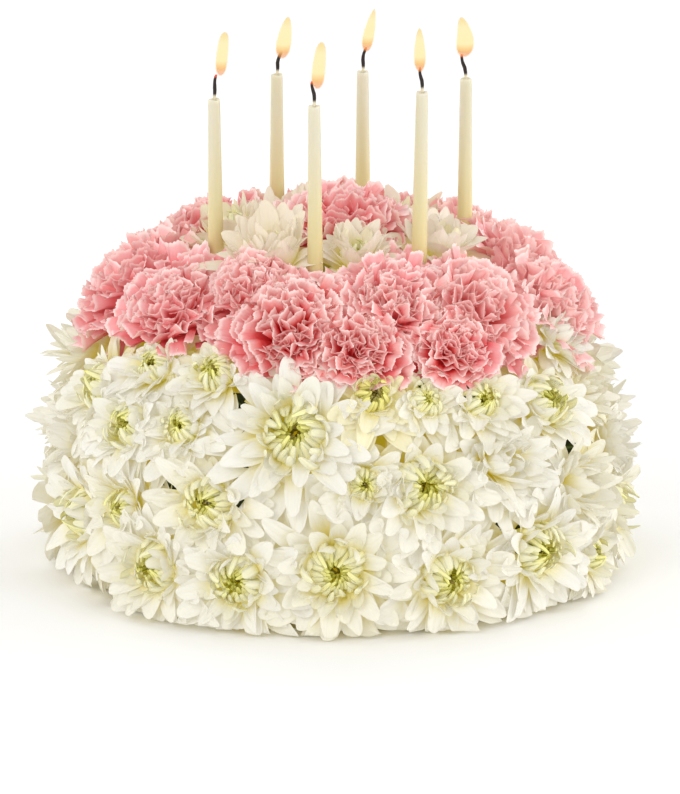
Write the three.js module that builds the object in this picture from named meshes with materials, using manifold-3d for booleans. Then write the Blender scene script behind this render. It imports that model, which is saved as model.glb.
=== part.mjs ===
// A birthday cake made of fresh flowers: a domed block of flower foam covered with white
// cushion mums, a ring of pink carnations round its shoulder, and six thin lit candles.
// Millimetres, +Z up, the front towards -Y. The origin is the middle of the flat foot.
import * as THREE from "three";
import { mergeVertices } from "three/addons/utils/BufferGeometryUtils.js";
import Module from "manifold-3d";

// ---- The cake's form: the flowers face out of one rounded dome ----
const FACE_TOP = 150; // height of the dome that the flowers' faces lie on
const FACE_REACH = 120; // its radius at the foot
const ACROSS_POWER = 2; // how round the dome is in plan and over the top
const HEIGHT_POWER = 3;
const BLOOM_DEPTH = 27; // from a flower's face to its seat on the foam
const GAP = 0.3; // clearance between pieces that touch

// ---- The foam block ----
const FOAM_SIDES = 32;
const FOAM_RIM_HEIGHT = 12; // face height below which the foam's side runs straight down
const FOAM_STEPS = 6;
const STEM_SINK = 3; // how far a fused flower's stem end goes into the foam
const CANDLE_SINK = 12; // how far a candle stands in the foam

// ---- Flowers, as [degrees round from the front, height of the face, width across] ----
const SIDE_MUMS = [
  [-65, 34, 62], [-39, 24, 62], [-20, 23, 58], [0, 29, 68], [23, 23, 62], [45, 28, 62],
  [80, 30, 60], [-77, 62, 58], [-27, 53, 60], [18, 62, 68], [37, 68, 56], [60, 49, 60],
  [-67, 87, 54], [-51, 78, 54], [-9, 84, 76], [54, 86, 56], [77, 82, 56],
];
// The rest of the foot row, evenly spaced round the back: [first, last, how many].
const BACK_FOOT_ROW = { turn: [101, 263, 7], height: 26, across: 60 };

// Small and half-hidden mums, fused to the foam that they grow from.
const TUCKED_MUMS = [
  [-50, 102, 46], [-31, 104, 48], [9, 99, 44], [21, 95, 38], [35, 92, 50], [-36, 82, 46],
  [6, 64, 40], [-49, 43, 48], [63, 20, 48], [73, 105, 46], [83, 56, 50],
];
const BACK_MIDDLE_ROW = { turn: [107, 260, 6], height: 58, across: 64 };
const BACK_UPPER_ROW = { turn: [100, 264, 6], height: 90, across: 64 };
const ROW_WANDER = 3; // how far a back row's flowers stray up or down

const CARNATIONS = [
  [-55, 122, 62], [-33, 133, 48], [-13, 122, 58], [6, 116, 46], [21, 129, 54], [33, 113, 42],
  [48, 125, 60], [80, 114, 56], [98, 126, 52], [122, 133, 56], [150, 127, 58], [180, 131, 58],
  [-150, 127, 58], [-123, 132, 56], [-92, 118, 62],
];

// Flowers on the crown, as [degrees round, distance from the middle, width across, cup].
// A cupped flower holds its petals up by that share of its half width.
const CENTRE_CARNATION = [30, 5, 58, 0];
const CROWN_MUMS = [
  [-33, 47, 58, 0.4], [12, 41, 50, 0.25], [64, 48, 52, 0.3], [128, 41, 52, 0.25],
  [-132, 29, 50, 0.25], [-94, 44, 50, 0.2], [190, 39, 50, 0.25],
];

// ---- Candles: degrees round, height of the wax and degrees that it leans to the right; how
// far the wick's tip has curled over; how wide the flame is and how far its tip has blown ----
const CANDLES = [
  { turn: -67, top: 200, lean: -0.6, curl: 1.1, flame: 5.0, blown: 2.3 },
  { turn: -152.5, top: 194, lean: 0, curl: 1.9, flame: 6.4, blown: 2.6 },
  { turn: -9, top: 205, lean: -0.3, curl: -0.6, flame: 5.7, blown: 3.8 },
  { turn: 168, top: 194, lean: 0, curl: 1.0, flame: 5.0, blown: 4.0 },
  { turn: 39, top: 208, lean: 0.9, curl: -0.9, flame: 5.0, blown: 0.6 },
  { turn: 97, top: 202, lean: 0.4, curl: -2.0, flame: 7.5, blown: 0.8 },
];
const CANDLE_RING = 52.5; // radius of the ring the candles stand on
const CANDLE_FOOT_RADIUS = 3.6;
const CANDLE_TOP_RADIUS = 2.45;
const CANDLE_SIDES = 7;
const MELT_DIP = 0.9; // hollow melted round the wick
const WICK_RADIUS = 0.6;
const WICK_LENGTH = 9.5;
const FLAME_TIP = 26; // height of a flame's tip over the wax
const FLAME_SIDES = 7;

// ---- Petal layers from the seat to the middle ----
// out: share of the half width; up: height over the face as a share of it; notch: how much
// shorter a layer is between two petals; ripple: rise and fall of the frill from spoke to
// spoke; wander: how much petals differ; cup: how much of a cupped flower's lift it takes.
const MUM_LAYERS = [
  { out: 1.0, up: -0.14, notch: 0.3, ripple: 0.03, wander: 0.09, phase: 0, cup: 1 },
  { out: 0.62, up: 0.1, notch: 0.24, ripple: 0.05, wander: 0.07, phase: 1, cup: 0.6 },
  { out: 0.24, up: 0.04, notch: 0, ripple: 0.02, wander: 0, phase: 0, cup: 0 },
];
const CARNATION_LAYERS = [
  { out: 1.0, up: -0.24, notch: 0.09, ripple: 0.09, wander: 0.07, phase: 0, cup: 0 },
  { out: 0.8, up: 0.02, notch: 0.12, ripple: 0.12, wander: 0.06, phase: 1, cup: 0 },
  { out: 0.52, up: 0.16, notch: 0.15, ripple: 0.11, wander: 0.06, phase: 0, cup: 0 },
  { out: 0.26, up: 0.22, notch: 0.12, ripple: 0.1, wander: 0.04, phase: 1, cup: 0 },
];
const MUM = { layers: MUM_LAYERS, teeth: 9, spokes: 3, middle: -0.06 };
const SMALL_MUM = { layers: MUM_LAYERS, teeth: 7, spokes: 3, middle: -0.06 };
const CARNATION = { layers: CARNATION_LAYERS, teeth: 13, spokes: 2, middle: 0.14 };

// ---- Materials ----
const MATERIALS = {
  foam: { color: 0x3f4a26, roughness: 0.95, metalness: 0 },
  mum: { color: 0xf6f4e2, roughness: 0.62, metalness: 0 },
  carnation: { color: 0xf0a3ab, roughness: 0.66, metalness: 0 },
  wax: { color: 0xf1e8c4, roughness: 0.4, metalness: 0 },
  flame: { color: 0xffe08a, roughness: 0.5, metalness: 0 },
};

const UP = new THREE.Vector3(0, 0, 1);

const wasm = await Module();
wasm.setup();

// A THREE geometry as a manifold solid, and back.
function toSolid(geometry) {
  const bare = geometry.clone();
  bare.deleteAttribute("normal");
  bare.deleteAttribute("uv");
  const merged = mergeVertices(bare);
  return new wasm.Manifold(
    new wasm.Mesh({
      numProp: 3,
      vertProperties: merged.attributes.position.array,
      triVerts: new Uint32Array(merged.index.array),
    }),
  );
}

function toGeometry(solid) {
  const mesh = solid.getMesh();
  const geometry = new THREE.BufferGeometry();
  geometry.setAttribute("position", new THREE.BufferAttribute(mesh.vertProperties, 3));
  geometry.setIndex(new THREE.BufferAttribute(mesh.triVerts, 1));
  geometry.computeVertexNormals();
  return geometry;
}

// ---- The dome: (r / reach)^2 + (z / top)^3 = 1 ----
function faceRadius(height) {
  const share = Math.pow(height / FACE_TOP, HEIGHT_POWER);
  return FACE_REACH * Math.pow(1 - share, 1 / ACROSS_POWER);
}

function faceHeight(radius) {
  const share = Math.pow(radius / FACE_REACH, ACROSS_POWER);
  return FACE_TOP * Math.pow(1 - share, 1 / HEIGHT_POWER);
}

// The dome's outward slope there, as the share that points out and the share that points up.
function faceSlope(radius, height) {
  const out = (ACROSS_POWER * Math.pow(radius / FACE_REACH, ACROSS_POWER - 1)) / FACE_REACH;
  const up = (HEIGHT_POWER * Math.pow(height / FACE_TOP, HEIGHT_POWER - 1)) / FACE_TOP;
  return new THREE.Vector2(out, up).normalize();
}

// The directions out from the middle and round the cake; 0 degrees is the front.
function outward(degrees) {
  const turn = THREE.MathUtils.degToRad(degrees);
  return new THREE.Vector3(Math.sin(turn), -Math.cos(turn), 0);
}

function sideways(degrees) {
  return outward(degrees + 90);
}

// ---- Where each flower stands: its local Y runs out along its stem ----
function flowerAt(degrees, radius, height, across, cup, form) {
  const slope = faceSlope(radius, height);
  const facing = outward(degrees).multiplyScalar(slope.x).addScaledVector(UP, slope.y);
  const right = sideways(degrees);
  const down = new THREE.Vector3().crossVectors(right, facing);
  const place = outward(degrees).multiplyScalar(radius).addScaledVector(UP, height);
  const frame = new THREE.Matrix4().makeBasis(right, facing, down).setPosition(place);
  return { place, frame, half: across / 2, cup, form };
}

function sideFlower([degrees, height, across], form) {
  return flowerAt(degrees, faceRadius(height), height, across, 0, form);
}

function crownFlower([degrees, radius, across, cup], form) {
  return flowerAt(degrees, radius, faceHeight(radius), across, cup, form);
}

// A row of flowers spaced evenly, straying up and down in turn.
function rowOf({ turn: [first, last, count], height, across }) {
  return Array.from({ length: count }, (_, i) => {
    const stray = i % 2 ? ROW_WANDER : -ROW_WANDER;
    return [first + ((last - first) * i) / (count - 1), height + stray, across];
  });
}

// ---- Candles' centre lines ----
function candleLine({ turn, top, lean }) {
  const foot = outward(turn).multiplyScalar(CANDLE_RING);
  foot.z = faceHeight(CANDLE_RING) - BLOOM_DEPTH - CANDLE_SINK;
  const tilt = THREE.MathUtils.degToRad(lean);
  const along = new THREE.Vector3(Math.sin(tilt), 0, Math.cos(tilt));
  return { foot, along, length: (top - foot.z) / along.z };
}

// ---- Flat cuts that keep a flower clear of what is beside it ----
// Each cut is a direction and the furthest that the flower may reach along it.
function cutBetween(flower, other) {
  const toward = new THREE.Vector3().subVectors(other.place, flower.place);
  const apart = toward.length();
  const share = flower.half / (flower.half + other.half);
  return { toward: toward.normalize(), reach: apart * share - GAP / 2 };
}

function cutAtCandle(flower, { foot, along }) {
  const toFoot = new THREE.Vector3().subVectors(foot, flower.place);
  const toward = toFoot.addScaledVector(along, -toFoot.dot(along));
  const apart = toward.length();
  return { toward: toward.normalize(), reach: apart - CANDLE_FOOT_RADIUS - GAP };
}

function cutAtFloor(flower) {
  return { toward: UP.clone().negate(), reach: flower.place.z - GAP };
}

function cutsFor(flower, flowers, candles) {
  const others = flowers.filter((other) => other !== flower);
  return [
    ...others.map((other) => cutBetween(flower, other)),
    ...candles.map((candle) => cutAtCandle(flower, candle)),
    cutAtFloor(flower),
  ];
}

// ---- A flower: a lathe of spokes whose rings are drawn out into petals ----
function flowerGeometry(flower, cuts, seatDepth, seed) {
  const { frame, half, cup, form } = flower;
  const { layers, teeth, spokes, middle } = form;
  const profile = [
    new THREE.Vector2(0, -seatDepth),
    ...layers.map((layer) => new THREE.Vector2(half * layer.out, half * layer.up)),
    new THREE.Vector2(0, half * middle),
  ];
  const count = teeth * spokes;
  const geometry = new THREE.LatheGeometry(profile, count);
  const inverse = frame.clone().invert();
  const localCuts = cuts.map(({ toward, reach }) => ({
    toward: toward.clone().transformDirection(inverse),
    reach,
  }));
  const position = geometry.attributes.position;
  THREE.MathUtils.seededRandom(seed);
  layers.forEach((layer, ring) => {
    const longer = Array.from({ length: teeth }, () => THREE.MathUtils.seededRandom() - 0.5);
    const higher = Array.from({ length: teeth }, () => THREE.MathUtils.seededRandom() - 0.5);
    for (let i = 0; i <= count; i += 1) {
      const spoke = (i + layer.phase) % count;
      const tooth = Math.floor(spoke / spokes);
      const between = spoke % spokes === 0;
      const turn = (2 * Math.PI * i) / count;
      const direction = new THREE.Vector3(Math.sin(turn), 0, Math.cos(turn));
      const grow = 1 - (between ? layer.notch : 0) + 2 * layer.wander * longer[tooth];
      const ripple = (between ? -layer.ripple : layer.ripple) + 2 * layer.wander * higher[tooth];
      const up = half * (layer.up + ripple + cup * layer.cup);
      const reach = reachWithin(localCuts, direction, up, half * layer.out * grow);
      const vertex = direction.multiplyScalar(reach).setY(up);
      position.setXYZ(i * profile.length + ring + 1, vertex.x, vertex.y, vertex.z);
    }
  });
  geometry.computeVertexNormals();
  return geometry;
}

// How far a spoke can run out at this height before it meets a cut.
function reachWithin(cuts, direction, up, wanted) {
  return cuts.reduce((reach, cut) => {
    const slant = cut.toward.dot(direction);
    const room = cut.reach - up * cut.toward.y;
    return slant > 0 ? Math.min(reach, room / slant) : reach;
  }, wanted);
}

// ---- The foam block under the flowers ----
function foamSolid() {
  const profile = [new THREE.Vector2(0, 0)];
  for (let i = 0; i <= FOAM_STEPS; i += 1) {
    const turn = (i / FOAM_STEPS) * (Math.PI / 2);
    const face = THREE.MathUtils.lerp(FOAM_RIM_HEIGHT, FACE_TOP, Math.sin(turn));
    const radius = faceRadius(face);
    const slope = faceSlope(radius, face);
    const seat = BLOOM_DEPTH + GAP;
    const edge = new THREE.Vector2(radius - seat * slope.x, face - seat * slope.y);
    if (i === 0) profile.push(new THREE.Vector2(edge.x, 0));
    profile.push(edge);
  }
  profile[profile.length - 1].x = 0;
  const lathe = new THREE.LatheGeometry(profile, FOAM_SIDES);
  return toSolid(lathe.rotateX(Math.PI / 2));
}

// ---- Candles: tapered wax, a melted dip and a curled wick in one lathe ----
function candleGeometry(length, wickCurl) {
  const profile = [
    new THREE.Vector2(0, 0),
    new THREE.Vector2(CANDLE_FOOT_RADIUS, 0),
    new THREE.Vector2(CANDLE_TOP_RADIUS, length),
    new THREE.Vector2(WICK_RADIUS, length - MELT_DIP),
    new THREE.Vector2(WICK_RADIUS, length + WICK_LENGTH / 2),
    new THREE.Vector2(WICK_RADIUS, length + WICK_LENGTH),
    new THREE.Vector2(0, length + WICK_LENGTH + WICK_RADIUS),
  ];
  const lathe = new THREE.LatheGeometry(profile, CANDLE_SIDES).rotateX(Math.PI / 2);
  return curl(lathe, length, WICK_LENGTH, wickCurl);
}

// A flame: a teardrop whose tip is blown to one side.
function flameGeometry(width, height, blown) {
  const profile = [
    new THREE.Vector2(0, 0),
    new THREE.Vector2(width * 0.32, height * 0.07),
    new THREE.Vector2(width * 0.5, height * 0.28),
    new THREE.Vector2(width * 0.42, height * 0.58),
    new THREE.Vector2(width * 0.22, height * 0.84),
    new THREE.Vector2(0, height),
  ];
  const lathe = new THREE.LatheGeometry(profile, FLAME_SIDES).rotateX(Math.PI / 2);
  return curl(lathe, 0, height, blown);
}

// Bends what lies above a height sideways, more and more towards its tip.
function curl(geometry, from, over, shift) {
  const position = geometry.attributes.position;
  for (let i = 0; i < position.count; i += 1) {
    const share = Math.max(0, (position.getZ(i) - from) / over);
    position.setX(i, position.getX(i) + shift * share * share);
  }
  geometry.computeVertexNormals();
  return geometry;
}

// The hole that a candle's foot stands in.
function candleHole({ foot, along }) {
  const radius = CANDLE_FOOT_RADIUS + GAP;
  const depth = 2 * CANDLE_SINK;
  const hole = new THREE.CylinderGeometry(radius, radius, depth, CANDLE_SIDES);
  hole.rotateX(Math.PI / 2).translate(0, 0, depth / 2 - GAP);
  const turn = new THREE.Quaternion().setFromUnitVectors(UP, along);
  return toSolid(hole.applyQuaternion(turn).translate(foot.x, foot.y, foot.z));
}

function addMesh(group, name, geometry, material) {
  const mesh = new THREE.Mesh(geometry, material);
  mesh.name = name;
  group.add(mesh);
  return mesh;
}

function numbered(name, i) {
  return `${name}_${String(i + 1).padStart(2, "0")}`;
}

// ---- Assembly ----
const materials = Object.fromEntries(
  Object.entries(MATERIALS).map(([name, look]) => [name, new THREE.MeshStandardMaterial(look)]),
);
const sideMums = [...SIDE_MUMS, ...rowOf(BACK_FOOT_ROW)].map((at) => sideFlower(at, MUM));
const crownMums = CROWN_MUMS.map((at) => crownFlower(at, MUM));
const carnations = [
  crownFlower(CENTRE_CARNATION, CARNATION),
  ...CARNATIONS.map((at) => sideFlower(at, CARNATION)),
];
const tuckedMums = [...TUCKED_MUMS, ...rowOf(BACK_MIDDLE_ROW), ...rowOf(BACK_UPPER_ROW)].map(
  (at) => sideFlower(at, SMALL_MUM),
);
const flowers = [...sideMums, ...crownMums, ...carnations, ...tuckedMums];
const candles = CANDLES.map(candleLine);

const cake = new THREE.Group();

function addFlowers(name, list, material) {
  list.forEach((flower, i) => {
    const cuts = cutsFor(flower, flowers, candles);
    const geometry = flowerGeometry(flower, cuts, BLOOM_DEPTH, flowers.indexOf(flower));
    const mesh = addMesh(cake, numbered(name, i), geometry, material);
    mesh.applyMatrix4(flower.frame);
  });
}

addFlowers("mum", sideMums, materials.mum);
addFlowers("crown_mum", crownMums, materials.mum);
addFlowers("carnation", carnations, materials.carnation);

const tucked = tuckedMums.map((flower) => {
  const cuts = cutsFor(flower, flowers, candles);
  const depth = BLOOM_DEPTH + STEM_SINK;
  const geometry = flowerGeometry(flower, cuts, depth, flowers.indexOf(flower));
  return toSolid(geometry.applyMatrix4(flower.frame));
});
const planted = tucked.reduce((solid, flower) => solid.add(flower), foamSolid());
const core = candles.reduce((solid, candle) => solid.subtract(candleHole(candle)), planted);
addMesh(cake, "core", toGeometry(core), materials.foam);

CANDLES.forEach(({ curl: wickCurl, flame, blown }, i) => {
  const { foot, along, length } = candles[i];
  const stand = new THREE.Group();
  stand.position.copy(foot);
  stand.quaternion.setFromUnitVectors(UP, along);
  addMesh(stand, numbered("candle", i), candleGeometry(length, wickCurl), materials.wax);
  const flameFoot = WICK_LENGTH + WICK_RADIUS + GAP;
  const teardrop = flameGeometry(flame, FLAME_TIP - flameFoot, blown);
  const fire = addMesh(stand, numbered("flame", i), teardrop, materials.flame);
  fire.position.set(wickCurl, 0, length + flameFoot);
  cake.add(stand);
});

export default cake;
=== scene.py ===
import functools
import math
from typing import NamedTuple

import bmesh
import bpy
import numpy as np
from bpy.props import FloatProperty, FloatVectorProperty, PointerProperty
from mathutils import Matrix, Vector


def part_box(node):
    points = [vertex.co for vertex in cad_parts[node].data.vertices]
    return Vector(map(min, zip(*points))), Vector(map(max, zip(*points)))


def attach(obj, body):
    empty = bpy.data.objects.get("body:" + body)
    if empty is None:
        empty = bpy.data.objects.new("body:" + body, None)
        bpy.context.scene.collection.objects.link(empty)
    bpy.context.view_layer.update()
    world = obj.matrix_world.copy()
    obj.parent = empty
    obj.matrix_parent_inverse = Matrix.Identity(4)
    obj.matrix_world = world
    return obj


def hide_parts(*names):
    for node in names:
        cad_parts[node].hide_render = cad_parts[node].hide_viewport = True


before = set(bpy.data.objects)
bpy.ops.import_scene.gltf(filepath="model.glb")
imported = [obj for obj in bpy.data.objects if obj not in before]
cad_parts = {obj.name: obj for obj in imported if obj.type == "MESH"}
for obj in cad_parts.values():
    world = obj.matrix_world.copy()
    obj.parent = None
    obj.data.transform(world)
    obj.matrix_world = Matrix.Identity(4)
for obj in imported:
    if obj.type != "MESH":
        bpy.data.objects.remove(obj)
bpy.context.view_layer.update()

bl_info = {
    "name": "Flower birthday cake",
    "version": (1, 0, 0),
    "blender": (4, 5, 0),
    "location": "3D View > Sidebar > Cake",
    "description": "A cake of fresh cushion mums and carnations with six lit candles",
    "category": "Object",
}

MM = 0.001
UP = Vector((0, 0, 1))
HEADINGS = 72  # directions round a flower in which its room is known
DOME = (120 * MM, 150 * MM)  # radius and height of the dome that the flowers' faces lie on


# ---- sizes and colours

COLOUR = {"min": 0, "max": 1, "subtype": "COLOR"}
THICKNESS = {"min": 0.0002, "max": 0.002, "unit": "LENGTH"}


class MumSettings(bpy.types.PropertyGroup):
    """Sizes and colours of the white mums."""

    spread: FloatProperty(
        name="Spread", description="How far the outer petals reach past the flower's own room",
        default=1.22, min=0.8, max=1.5)
    breadth: FloatProperty(
        name="Petal breadth", description="Breadth of the petals against the usual one",
        default=1.0, min=0.6, max=1.5)
    thickness: FloatProperty(
        name="Petal thickness", description="Thickness in the middle of a petal",
        default=0.00055, **THICKNESS)
    # Strength of the petals' emission: a painted glow that stands in for light coming through
    # them and lifts their shade.
    through: FloatProperty(
        name="Light through", description="Share of the light that a petal lets through",
        default=0.24, min=0, max=1, subtype="FACTOR")
    petal_colour: FloatVectorProperty(
        name="Petal", description="Colour of an open petal",
        default=(0.645, 0.632, 0.59), **COLOUR)
    # Partly the petals' own yellow root and partly painted shade where they lie over one
    # another; the same colour is also laid on at random for veins and fading.
    shade_colour: FloatVectorProperty(
        name="Petal root", description="Colour towards the root of an open petal",
        default=(0.71, 0.63, 0.22), **COLOUR)
    # Painted shade: petals deep down between the flowers are mixed towards this colour, by their
    # depth.
    deep_colour: FloatVectorProperty(
        name="Deep petal", description="Colour of a petal down between the flowers",
        default=(0.64, 0.53, 0.03), **COLOUR)
    # Painted reflected light: the pink that the carnations throw onto the crown's petals.
    blush_colour: FloatVectorProperty(
        name="Blush", description="Warm colour of the petals on the crown",
        default=(0.655, 0.56, 0.495), **COLOUR)
    # Partly the heart's own green and partly painted shade between its small petals.
    heart_colour: FloatVectorProperty(
        name="Heart", description="Colour deep between the small petals of the heart",
        default=(0.36, 0.37, 0.008), **COLOUR)


class CarnationSettings(bpy.types.PropertyGroup):
    """Sizes and colours of the pink carnations."""

    spread: FloatProperty(
        name="Spread", description="How far the outer petals reach past the flower's own room",
        default=1.2, min=0.8, max=1.5)
    frill: FloatProperty(
        name="Frill", description="Height of the frills against the usual one",
        default=1.0, min=0, max=2)
    thickness: FloatProperty(
        name="Petal thickness", description="Thickness in the middle of a petal",
        default=0.0004, **THICKNESS)
    # Strength of the petals' emission: a painted glow that stands in for light coming through
    # them and lifts their shade.
    through: FloatProperty(
        name="Light through", description="Share of the light that a petal lets through",
        default=0.18, min=0, max=1, subtype="FACTOR")
    petal_colour: FloatVectorProperty(
        name="Petal", description="Colour of the open part of a petal",
        default=(0.75, 0.50, 0.47), **COLOUR)
    # Partly the flower's own deep red and partly painted shade down inside the flower and deep
    # between the flowers.
    deep_colour: FloatVectorProperty(
        name="Deep petal", description="Colour down inside the flower",
        default=(0.52, 0.012, 0.018), **COLOUR)
    margin_colour: FloatVectorProperty(
        name="Margin", description="Colour of the notched edge",
        default=(0.84, 0.72, 0.68), **COLOUR)


class CandleSettings(bpy.types.PropertyGroup):
    """Sizes and colours of the candles and flames."""

    wax_colour: FloatVectorProperty(
        name="Wax", description="Colour of the wax", default=(0.70, 0.605, 0.285), **COLOUR)
    melt_rim: FloatProperty(
        name="Melt rim", description="Width of the softened rim round the melt pool",
        default=0.0006, min=0, max=0.002, unit="LENGTH")
    glow: FloatProperty(
        name="Glow", description="Brightness of the flames", default=1.0, min=0, max=10)
    halo: FloatProperty(
        name="Halo", description="Width of the flame's orange edge", default=0.00045,
        min=0, max=0.003, unit="LENGTH")


class StageSettings(bpy.types.PropertyGroup):
    """The floor, the light and the camera."""

    floor_width: FloatProperty(
        name="Floor width", description="Side of the square floor", default=6.0, min=1,
        unit="LENGTH")
    floor_colour: FloatVectorProperty(
        name="Floor", description="Colour of the floor", default=(0.98, 0.98, 0.98), **COLOUR)
    sky: FloatProperty(
        name="Sky", description="Strength of the light from all round", default=0.74, min=0)
    camera_height: FloatProperty(
        name="Camera elevation", description="Angle of the view above the horizon",
        default=math.radians(15), subtype="ANGLE")
    camera_distance: FloatProperty(
        name="Camera distance", description="From the camera to the cake's middle",
        default=6.0, min=0.5, unit="LENGTH")


# ---- shader expressions


class Wire:
    """A shader socket that can be used in sums like a number."""

    def __init__(self, recipe, socket):
        self.recipe = recipe
        self.socket = socket

    def math(self, operation, *values):
        return self.recipe.node(
            "ShaderNodeMath", {"operation": operation}, dict(enumerate(values)))

    def with_other(self, other, operation):
        return self.math(operation, self, other)

    __add__ = __radd__ = functools.partialmethod(with_other, operation="ADD")
    __mul__ = __rmul__ = functools.partialmethod(with_other, operation="MULTIPLY")
    __sub__ = functools.partialmethod(with_other, operation="SUBTRACT")
    __pow__ = functools.partialmethod(with_other, operation="POWER")

    def __rsub__(self, other):
        return self.math("SUBTRACT", other, self)

    def between(self, low, high):
        """0 below low, 1 above high, and a smooth rise between them."""
        return self.recipe.node(
            "ShaderNodeMapRange", {"interpolation_type": "SMOOTHSTEP"},
            {"Value": self, "From Min": low, "From Max": high})


class Recipe:
    """A material and the nodes that make it."""

    def __init__(self, name):
        self.material = bpy.data.materials.new(name)
        self.material.use_nodes = True
        self.tree = self.material.node_tree
        self.tree.nodes.clear()

    def node(self, kind, settings=None, inputs=None, output=0):
        """A node: its settings first, then the values or links of its sockets."""
        made = self.tree.nodes.new(kind)
        for key, value in (settings or {}).items():
            setattr(made, key, value)
        for key, value in (inputs or {}).items():
            socket = made.inputs[key]
            if isinstance(value, Wire):
                self.tree.links.new(value.socket, socket)
            else:
                socket.default_value = value
        return Wire(self, made.outputs[output])

    def ramp(self, share, stops):
        """The colour at this share of the way along the stops."""
        colour = self.node("ShaderNodeValToRGB", {}, {"Fac": share})
        elements = colour.socket.node.color_ramp.elements
        while len(elements) < len(stops):
            elements.new(1.0)
        for element, (place, stop) in zip(elements, stops):
            element.position = place
            element.color = (*stop, 1.0)
        return colour

    def attributes(self, names):
        """What the mesh's layers of these names hold, one number each."""
        return [
            self.node("ShaderNodeAttribute", {"attribute_name": name}, output="Fac")
            for name in names.split()]

    def petal_place(self):
        """The place on a petal in millimetres, another region for each petal."""
        layer = {"attribute_name": "petal_place"}
        return self.node("ShaderNodeAttribute", layer, output="Vector")

    def mix(self, share, first, second):
        """A blend of two colours."""
        fill = [c if isinstance(c, Wire) else (*c, 1.0) for c in (first, second)]
        return self.node(
            "ShaderNodeMix", {"data_type": "RGBA"}, {0: share, 6: fill[0], 7: fill[1]}, output=2)

    def coated(self, colour, *coats):
        """A colour under coats of others, each with the share that it covers."""
        for share, coat in coats:
            colour = self.mix(share, colour, coat)
        return colour

    def object_place(self):
        return self.node("ShaderNodeTexCoord", output="Object")

    def noise(self, scale, detail=2.0, roughness=0.5, at=None):
        """Noise on the object, or where another place is given, there."""
        return self.node("ShaderNodeTexNoise", {}, {
            "Vector": at or self.object_place(), "Scale": scale, "Detail": detail,
            "Roughness": roughness})

    def stretched(self, vector, scale):
        return self.node("ShaderNodeMapping", {}, {"Vector": vector, "Scale": scale})

    def bump(self, height, distance, strength=1.0):
        return self.node(
            "ShaderNodeBump", {}, {"Height": height, "Distance": distance, "Strength": strength})

    def finish(self, **sockets):
        """A Principled surface with these sockets; underscores stand for spaces."""
        inputs = {key.replace("_", " "): value for key, value in sockets.items()}
        surface = self.node("ShaderNodeBsdfPrincipled", {}, inputs)
        end = self.tree.nodes.new("ShaderNodeOutputMaterial")
        self.tree.links.new(surface.socket, end.inputs["Surface"])
        return self.material


@functools.cache
def finish_of(make):
    """The material that this function makes, made the first time that it is asked for."""
    return make(Recipe(make.__name__))


# ---- materials


def white_petal(mix):
    look = bpy.context.scene.cake_mum
    along, across, depth, heart, tint, fade, blush = mix.attributes(
        "along across depth heart tint fade blush")
    veins = mix.noise(1.0, 3.0, at=mix.stretched(mix.petal_place(), (0.12, 1.3, 1.0)))
    cloud = mix.noise(60.0)
    groove = (across ** 2.0).between(0.12, 0.65)
    rib = across.math("COSINE", across * 8.0)

    # The crown's petals take a painted pink reflection of the carnations round them.
    outer = mix.mix(blush, look.petal_colour, look.blush_colour)
    # Open petals: towards the root they take the root colour, partly their own yellow base and
    # partly painted shade where they overlap.
    open_petal = mix.coated(
        look.shade_colour,
        (along.between(0.2, 0.8), outer),
        # the deep colour is painted shade, laid on by the depth layer
        (0.8 * depth.between(0.06, 0.7), look.deep_colour))
    ridge = mix.mix(along.between(0.6, 1.1), (0.80, 0.76, 0.40), (0.76, 0.73, 0.14))
    # Heart florets have lighter ridges, with their sides in the heart colour and the innermost
    # ones darker; both are partly the heart's own green and partly painted shade, between the
    # florets and in the pit.
    small_petal = mix.coated(
        look.heart_colour,
        (along.between(0.2, 0.6), mix.mix(groove, ridge, look.heart_colour)),
        (0.6 * heart.between(0.88, 1.0), (0.20, 0.20, 0.005)))
    shade = 0.16 * veins.between(0.5, 0.75) + 0.08 * tint + 0.22 * fade
    colour = mix.coated(
        open_petal,
        (heart, small_petal),
        (0.9 * heart.between(1.1, 1.5), (0.14, 0.07, 0.008)),
        (shade, look.shade_colour))
    # Painted glow, standing in for light through the petals: pale on the open petals, a yellow
    # glow towards the roots and deep between the flowers that lightens and yellows the shade
    # there, warmer on the crown, bright on the heart's floret ridges, dim at their sides and
    # dimmer in the pit.
    thin = (1.0 - depth) * along.between(0.2, 0.85)
    glow = mix.coated(
        (0.56, 0.45, 0.0),
        (thin, mix.mix(blush, (0.85, 0.815, 0.69), (0.83, 0.75, 0.57))),
        (heart, mix.mix(groove, (0.74, 0.70, 0.08), (0.14, 0.12, 0.0))),
        (heart.between(0.85, 1.3), (0.03, 0.02, 0.0)))
    return mix.finish(
        Base_Color=colour,
        Emission_Color=glow,
        Emission_Strength=look.through,
        Roughness=0.5 + 0.2 * cloud,
        Normal=mix.bump(veins + 0.5 * rib, 0.0005, 0.45),
        Specular_IOR_Level=0.12,
        Sheen_Weight=0.02,
    )


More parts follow.
